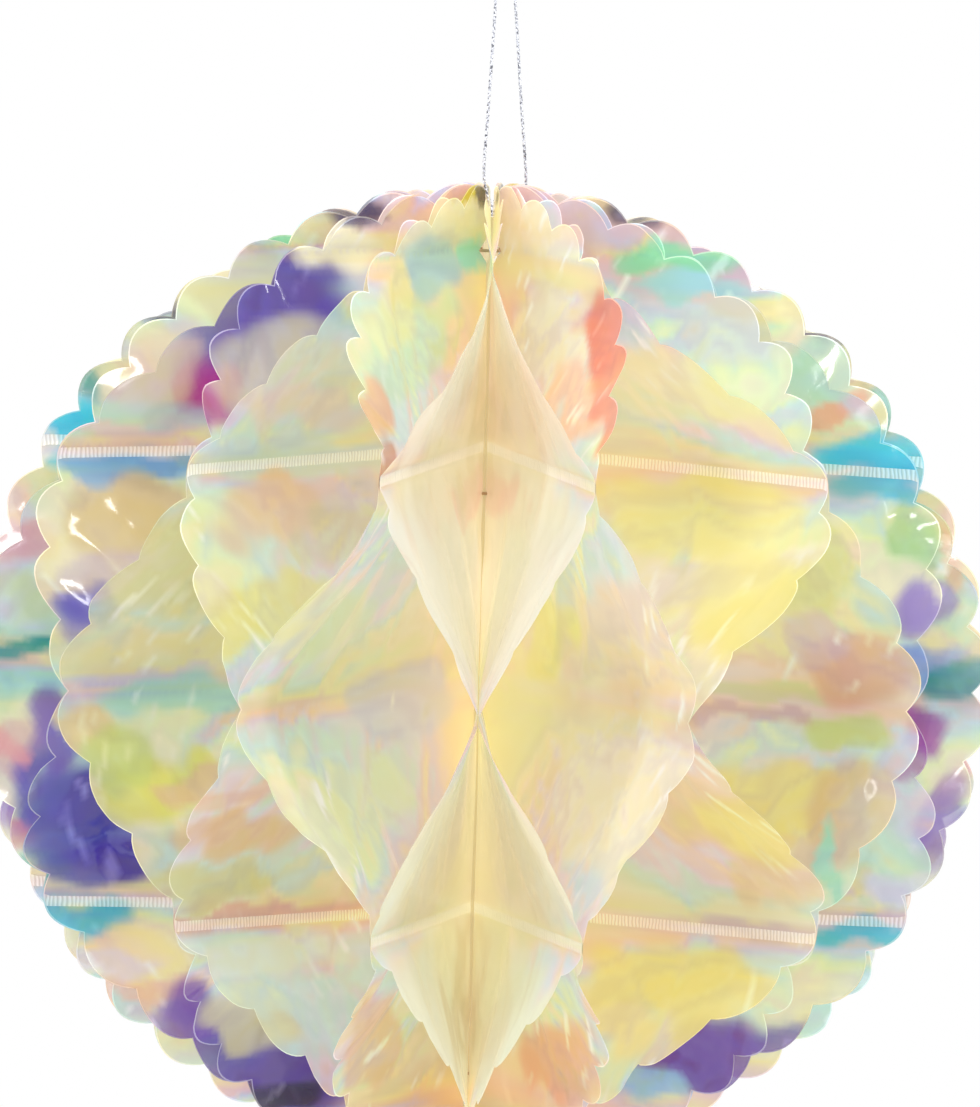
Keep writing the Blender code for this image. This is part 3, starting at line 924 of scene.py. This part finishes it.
def set_clear_plastic(name, code, roughness, painted_passed_light):
    """Clear set plastic, such as glue, thread or tape: faintly yellow and glossy. Deep between the leaves
    it has a painted glow that stands for what they let through."""
    material = new_material(name)
    tree = material.node_tree
    place = add_node(tree, "ShaderNodeTexCoord")
    grain = add_node(
        tree,
        "ShaderNodeTexNoise",
        inputs={"Scale": 1 / (1.5 * MM), "Detail": 2.0},
        links={"Vector": place.outputs["Object"]},
    )
    bump = add_node(
        tree,
        "ShaderNodeBump",
        inputs={"Strength": 0.4, "Distance": 0.1 * MM},
        links={"Height": grain.outputs["Fac"]},
    )
    shader = add_node(
        tree,
        "ShaderNodeBsdfPrincipled",
        inputs={
            "Base Color": srgb(code),
            "Roughness": roughness,
            "IOR": 1.5,
            "Emission Color": srgb(code),
            "Emission Strength": painted_passed_light,
        },
        links={"Normal": bump.outputs["Normal"]},
    )
    return finish_material(material, shader)


class FILMBALL_OT_spine(bpy.types.Operator):
    """Dress the spine bead, the thread ties and the closing tapes"""

    bl_idname = "filmball.spine"
    bl_label = "Dress the spine"

    def execute(self, context):
        glue = set_clear_plastic("Set hot-melt glue", "d8cda6", 0.25, 0.3)
        thread = set_clear_plastic("Drawn nylon thread", "b59a78", 0.3, 0.1)
        tape = set_clear_plastic("Clear acrylic tape", "f0ecdc", 0.2, 0.2)
        dressed = {"spine_bead": glue, "closing_tape_upper": tape, "closing_tape_lower": tape}
        dressed.update({node: thread for node in TIES})
        for node, material in dressed.items():
            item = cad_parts[node]
            item.data.materials.clear()
            item.data.materials.append(material)
        return {"FINISHED"}


# Centre line of the hanging loop, from its end over the spine to its end on the top tie
CORD_ROUTE = [
    (0.0, 0.0, -0.0977),
    (-0.0004, 0.0, -0.0940),
    (-0.0016, 0.0, -0.0910),
    (-0.0026, 0.0, -0.0840),
    (-0.0018, 0.0, -0.0660),
    (-0.0008, 0.0, -0.0420),
    (-0.0002, 0.0, -0.0200),
    (-0.0004, 0.0, -0.005525),
    (-0.0003, 0.0, -0.001725),
    (0.0, 0.0, 0.000475),
    (0.0015, 0.0, -0.000725),
    (0.0023, 0.0, -0.005525),
    (0.0038, 0.0001, -0.0200),
    (0.0058, 0.0004, -0.0420),
    (0.0079, 0.0008, -0.0660),
    (0.0096, 0.0013, -0.0840),
    (0.00967, 0.00162, -0.0910),
    (0.00868, 0.00145, -0.0980),
    (0.00690, 0.00116, -0.10225),
    (0.00592, 0.00099, -0.10695),
]


def smooth_points(points, spacing):
    """Points at a near even spacing along a smooth curve through the given ones."""
    points = [Vector(point) for point in points]
    ends = [2 * points[0] - points[1], *points, 2 * points[-1] - points[-2]]
    line = []
    for before, start, end, after in zip(ends, ends[1:], ends[2:], ends[3:]):
        pieces = max(1, round((end - start).length / spacing))
        for piece in range(pieces):
            t = piece / pieces
            bend = (2 * before - 5 * start + 4 * end - after) * t * t
            twist = (3 * start - before - 3 * end + after) * t**3
            line.append(start + ((end - before) * t + bend + twist) / 2)
    line.append(points[-1])
    return line


def metallised_yarn():
    """Polyester yarn wound with vacuum-metallised foil: silver, with bright and dark flecks."""
    material = new_material("Metallised braided yarn")
    tree = material.node_tree
    place = add_node(tree, "ShaderNodeTexCoord")
    fleck = add_node(
        tree,
        "ShaderNodeTexNoise",
        inputs={"Scale": 1 / (0.6 * MM), "Detail": 2.0},
        links={"Vector": place.outputs["Object"]},
    )
    colour = add_node(tree, "ShaderNodeValToRGB", links={"Fac": fleck.outputs["Fac"]})
    set_ramp(colour, ((0.3, "5c5c62"), (0.45, "c2c2c8"), (0.6, "fbfbff")))
    shader = add_node(
        tree,
        "ShaderNodeBsdfPrincipled",
        inputs={"Roughness": 0.38, "Metallic": 0.85},
        links={"Base Color": colour.outputs["Color"]},
    )
    return finish_material(material, shader)


YARNS = 6
YARN_SIDES = 6
YARN_SAMPLE = 0.3 * MM
YARN_SHARE = 0.19  # half thickness of a yarn, as a share of the cord's diameter
YARN_MARGIN = 1.25  # room that a yarn takes inside the cord's diameter, in half thicknesses
YARN_LIFT = 0.35  # how far a yarn lifts over another, in half thicknesses


def braid_mesh(line, diameter, pitch):
    """Yarns that wind round a centre line in both directions, over and under each other."""
    bm = bmesh.new()
    yarn = diameter * YARN_SHARE
    lift = diameter / 2 - yarn * YARN_MARGIN
    along = 0.0
    frames = []
    for index, point in enumerate(line):
        ahead = line[min(index + 1, len(line) - 1)] - line[max(index - 1, 0)]
        ahead.normalize()
        side = ahead.cross(Vector((0.0, 1.0, 0.0))).normalized()
        frames.append((point, side, ahead.cross(side), along))
        if index + 1 < len(line):
            along += (line[index + 1] - point).length
    for number in range(YARNS):
        turn = 1 if number % 2 == 0 else -1
        start = math.tau * (number // 2) / (YARNS // 2)
        rings = []
        for point, side, up, distance in frames:
            angle = start + turn * math.tau * distance / pitch
            over = turn * math.cos(YARNS / 2 * math.tau * distance / pitch) * yarn * YARN_LIFT
            out = side * math.cos(angle) + up * math.sin(angle)
            centre = point + out * (lift + over)
            ring = []
            for corner in range(YARN_SIDES):
                spin = math.tau * corner / YARN_SIDES
                tangent = side.cross(up)
                around = out * math.cos(spin) + tangent.cross(out) * math.sin(spin)
                ring.append(bm.verts.new(centre + around * yarn))
            rings.append(ring)
        for first, second in zip(rings, rings[1:]):
            for corner in range(YARN_SIDES):
                after = (corner + 1) % YARN_SIDES
                bm.faces.new((first[corner], first[after], second[after], second[corner]))
        bm.faces.new(rings[0][::-1])
        bm.faces.new(rings[-1])
    bmesh.ops.recalc_face_normals(bm, faces=bm.faces)
    mesh = bpy.data.meshes.new("hanging_cord_braid")
    bm.to_mesh(mesh)
    bm.free()
    mesh.shade_smooth()
    return mesh


class FILMBALL_OT_cord(bpy.types.Operator):
    """Build the braided hanging cord"""

    bl_idname = "filmball.cord"
    bl_label = "Build the hanging cord"

    def execute(self, context):
        settings = context.scene.filmball_cord
        line = smooth_points(CORD_ROUTE, YARN_SAMPLE)
        mesh = braid_mesh(line, settings.diameter, settings.braid_pitch)
        mesh.materials.append(metallised_yarn())
        item = bpy.data.objects.new("hanging_cord_braid", mesh)
        context.scene.collection.objects.link(item)
        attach(item, "root")
        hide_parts("hanging_cord")
        return {"FINISHED"}


# Strip lights: name, place, width, height and power
STRIP_LIGHTS = (
    ("Left strip light", (-1.0, -1.3, 0.5), 0.12, 1.4, 9.0),
    ("Right strip light", (1.3, -0.9, 0.0), 0.12, 1.2, 7.0),
    ("Top strip light", (0.1, -0.5, 1.3), 1.2, 0.14, 8.0),
)
AIM_RIGHT, AIM_UP = 2.3 * MM, 36.2 * MM  # where the camera aims, from the ball's middle
SENSOR_WIDTH = 36.0


def build_floor(height, size):
    """A round floor of white paper at a height."""
    bm = bmesh.new()
    bmesh.ops.create_circle(bm, cap_ends=True, segments=96, radius=size / 2)
    mesh = bpy.data.meshes.new("paper_floor")
    bm.to_mesh(mesh)
    bm.free()
    material = new_material("White studio paper")
    paper = add_node(
        material.node_tree,
        "ShaderNodeBsdfPrincipled",
        inputs={"Base Color": srgb("f8f8f6"), "Roughness": 0.9},
    )
    mesh.materials.append(finish_material(material, paper))
    item = bpy.data.objects.new("paper_floor", mesh)
    item.location.z = height
    bpy.context.scene.collection.objects.link(item)


def build_world():
    """Soft white light from all round, seen by the camera as a white background."""
    world = bpy.data.worlds.new("Studio")
    world.use_nodes = True
    tree = world.node_tree
    tree.nodes.clear()
    path = add_node(tree, "ShaderNodeLightPath")
    soft = add_node(tree, "ShaderNodeBackground", inputs={"Color": srgb("f5f9ff"), "Strength": 1.0})
    seen = add_node(tree, "ShaderNodeBackground", inputs={"Color": srgb("ffffff"), "Strength": 1.0})
    mixed = add_node(
        tree,
        "ShaderNodeMixShader",
        links={0: path.outputs["Is Camera Ray"], 1: soft.outputs[0], 2: seen.outputs[0]},
    )
    output = add_node(tree, "ShaderNodeOutputWorld")
    tree.links.new(mixed.outputs[0], output.inputs["Surface"])
    bpy.context.scene.world = world


def add_strip_light(name, place, width, height, power):
    """A white area light that faces the ball's middle."""
    data = bpy.data.lights.new(name, "AREA")
    data.shape = "RECTANGLE"
    data.size = width
    data.size_y = height
    data.energy = power
    item = bpy.data.objects.new(name, data)
    item.location = place
    to_ball = Vector((0.0, 0.0, BALL_MIDDLE)) - place
    item.rotation_euler = to_ball.to_track_quat("-Z", "Y").to_euler()
    bpy.context.scene.collection.objects.link(item)


def place_camera(stage):
    """A long lens a little above the ball and aimed above its middle, so that the frame cuts the ball."""
    data = bpy.data.cameras.new("Camera")
    data.sensor_width = SENSOR_WIDTH
    data.sensor_fit = "AUTO"
    data.lens = SENSOR_WIDTH * stage.camera_distance / stage.frame_height
    item = bpy.data.objects.new("Camera", data)
    aim = Vector((AIM_RIGHT, 0.0, BALL_MIDDLE + AIM_UP))
    back = Vector((0.0, -math.cos(stage.elevation), math.sin(stage.elevation)))
    item.location = aim + back * stage.camera_distance
    look = (-back).to_track_quat("-Z", "Y").to_matrix().to_4x4()
    item.matrix_world = Matrix.Translation(item.location) @ look @ Matrix.Rotation(stage.roll, 4, "Z")
    bpy.context.scene.collection.objects.link(item)
    bpy.context.scene.camera = item


class FILMBALL_OT_stage(bpy.types.Operator):
    """Set up the floor, the lights and the camera"""

    bl_idname = "filmball.stage"
    bl_label = "Set up the stage"

    def execute(self, context):
        stage = context.scene.filmball_stage
        build_world()
        lowest = BALL_MIDDLE - context.scene.filmball_film.height / 2
        build_floor(lowest - stage.floor_drop, stage.floor_size)
        for name, place, width, height, power in STRIP_LIGHTS:
            add_strip_light(name, Vector(place), width, height, power)
        place_camera(stage)
        context.scene.view_settings.view_transform = "Standard"
        return {"FINISHED"}


class FILMBALL_PT_panel(bpy.types.Panel):
    """Sidebar panel with the ball's sizes and its build steps"""

    bl_idname = "FILMBALL_PT_panel"
    bl_label = "Film honeycomb ball"
    bl_space_type = "VIEW_3D"
    bl_region_type = "UI"
    bl_category = "Film ball"

    def draw(self, context):
        scene = context.scene
        for group in (scene.filmball_film, scene.filmball_cord, scene.filmball_stage):
            box = self.layout.box()
            for name in group.__annotations__:
                box.prop(group, name)
        for step in STEPS:
            self.layout.operator(step.bl_idname)


STEPS = (FILMBALL_OT_leaves, FILMBALL_OT_spine, FILMBALL_OT_cord, FILMBALL_OT_stage)
CLASSES = (FilmSettings, CordSettings, StageSettings, *STEPS, FILMBALL_PT_panel)


def register():
    """Add the ball's settings, steps and panel to Blender."""
    for item in CLASSES:
        bpy.utils.register_class(item)
    bpy.types.Scene.filmball_film = bpy.props.PointerProperty(type=FilmSettings)
    bpy.types.Scene.filmball_cord = bpy.props.PointerProperty(type=CordSettings)
    bpy.types.Scene.filmball_stage = bpy.props.PointerProperty(type=StageSettings)


def unregister():
    """Take them out again."""
    del bpy.types.Scene.filmball_stage
    del bpy.types.Scene.filmball_cord
    del bpy.types.Scene.filmball_film
    for item in reversed(CLASSES):
        bpy.utils.unregister_class(item)


def main():
    """Build everything."""
    register()
    bpy.ops.filmball.stage()
    bpy.ops.filmball.cord()
    bpy.ops.filmball.spine()
    bpy.ops.filmball.leaves()


if __name__ == "__main__":
    main()
